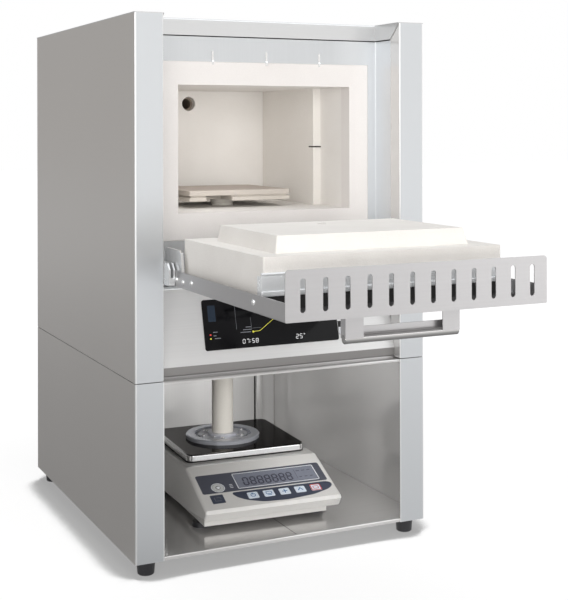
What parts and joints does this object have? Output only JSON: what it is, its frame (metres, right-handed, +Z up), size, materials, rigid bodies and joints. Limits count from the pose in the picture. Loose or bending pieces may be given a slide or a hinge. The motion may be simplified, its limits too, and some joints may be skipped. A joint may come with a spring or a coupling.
{
  "type": "muffle furnace",
  "caption": "Bench muffle furnace on a weighing stand: fibre-lined chamber, flap door folded down, touch display, laboratory scale carrying a ceramic tube and tray.",
  "frame": {"origin": "middle of the footprint on the bench, door lying open", "axes": "+X to the right seen from the front, +Y to the rear, +Z up"},
  "size_m": [0.415, 0.825, 0.7],
  "materials": {
    "cabinet_steel": "satin stainless sheet",
    "front_steel": "bright brushed stainless sheet",
    "panel_grey": "satin grey paint",
    "inner_steel": "plain steel sheet",
    "rubber": "black rubber",
    "display_black": "black glass touch display",
    "case_black": "black moulded case",
    "fibre": "white ceramic fibre board",
    "heater_ceramic": "cream ceramic heating plate",
    "ceramic": "unglazed white ceramic",
    "wire": "heat resistant wire",
    "hinge_steel": "polished hinge steel",
    "polished_bar": "polished round bar",
    "black_plastic": "black plastic",
    "switch_black": "gloss black rocker",
    "scale_cream": "cream moulded housing",
    "membrane_blue": "blue-grey printed membrane",
    "lcd": "liquid crystal display behind a clear pane",
    "vial": "spirit level",
    "key_white": "pale blue keys",
    "pan_steel": "polished weighing pan",
    "aluminium": "blue-grey anodised aluminium"
  },
  "bodies": {
    "cabinet": {"base_left_side": "cabinet_steel", "base_right_side": "cabinet_steel", "base_floor": "cabinet_steel", "base_back": "cabinet_steel", "base_deck": "cabinet_steel", "rubber_feet": "rubber", "upper_left_side": "cabinet_steel", "upper_right_side": "cabinet_steel", "top_lid": "cabinet_steel", "rear_cover": "inner_steel", "bottom_plate": "inner_steel", "chamber_deck": "inner_steel", "rear_bulkhead": "inner_steel", "front_plate": "front_steel", "control_panel": "panel_grey", "display_glass": "display_black", "controller_case": "case_black", "fibre_collar": "fibre", "fibre_floor": "fibre", "fibre_roof": "fibre", "fibre_left": "fibre", "fibre_right": "fibre", "fibre_back": "fibre", "heating_plate_left": "heater_ceramic", "heating_plate_right": "heater_ceramic", "collar_clips": "wire", "plate_staples": "wire", "temperature_probe": "ceramic", "exhaust_tube": "ceramic", "mains_inlet": "black_plastic", "switch_frame": "black_plastic", "hinge_bracket_left": "hinge_steel", "hinge_bracket_right": "hinge_steel", "scale_housing": "scale_cream", "scale_membrane": "membrane_blue", "scale_display": "lcd", "scale_level": "vial", "scale_feet": "rubber"},
    "door": {"door_skin": "cabinet_steel", "door_fibre": "fibre", "door_plug": "fibre", "door_rail": "hinge_steel", "door_arm_left": "hinge_steel", "door_arm_right": "hinge_steel", "handle_bracket": "cabinet_steel", "handle_bar": "polished_bar"},
    "air_slide": {"air_slider": "hinge_steel"},
    "weighing_platform": {"pan_carrier": "aluminium", "weighing_pan": "pan_steel", "ring_flange": "aluminium", "ring_hub": "aluminium", "support_tube": "ceramic", "tray_support": "ceramic", "ceramic_tray": "ceramic"},
    "rocker": {"switch_rocker": "switch_black"},
    "key_1": {"scale_key_1": "key_white"},
    "key_2": {"scale_key_2": "key_white"},
    "key_3": {"scale_key_3": "key_white"},
    "key_4": {"scale_key_4": "key_white"},
    "key_5": {"scale_key_5": "key_white"}
  },
  "joints": [
    {"name": "door_hinge", "type": "hinge", "parent": "cabinet", "child": "door", "pos_m": [0, -0.0695, 0.369], "axis": [-1, 0, 0], "range_deg": [0, 90]},
    {"name": "air_inlet_slide", "type": "slide", "parent": "door", "child": "air_slide", "axis": [1, 0, 0], "range_m": [-0.018, 0]},
    {"name": "load_cell_give", "type": "slide", "parent": "cabinet", "child": "weighing_platform", "axis": [0, 0, 1], "range_m": [-0.0004, 0], "stiffness_N_per_m": 60000, "springref_m": 0.0004},
    {"name": "mains_rocker", "type": "hinge", "parent": "cabinet", "child": "rocker", "pos_m": [-0.07, 0.4002, 0.275], "axis": [1, 0, 0], "range_deg": [-18, 0]},
    {"name": "key_1_press", "type": "slide", "parent": "cabinet", "child": "key_1", "axis": [-0.0196, -0.3741, 0.9272], "range_m": [-0.0004, 0], "stiffness_N_per_m": 1200, "springref_m": 0.0004},
    {"name": "key_2_press", "type": "slide", "parent": "cabinet", "child": "key_2", "axis": [-0.0196, -0.3741, 0.9272], "range_m": [-0.0004, 0], "stiffness_N_per_m": 1200, "springref_m": 0.0004},
    {"name": "key_3_press", "type": "slide", "parent": "cabinet", "child": "key_3", "axis": [-0.0196, -0.3741, 0.9272], "range_m": [-0.0004, 0], "stiffness_N_per_m": 1200, "springref_m": 0.0004},
    {"name": "key_4_press", "type": "slide", "parent": "cabinet", "child": "key_4", "axis": [-0.0196, -0.3741, 0.9272], "range_m": [-0.0004, 0], "stiffness_N_per_m": 1200, "springref_m": 0.0004},
    {"name": "key_5_press", "type": "slide", "parent": "cabinet", "child": "key_5", "axis": [-0.0196, -0.3741, 0.9272], "range_m": [-0.0004, 0], "stiffness_N_per_m": 1200, "springref_m": 0.0004}
  ]
}
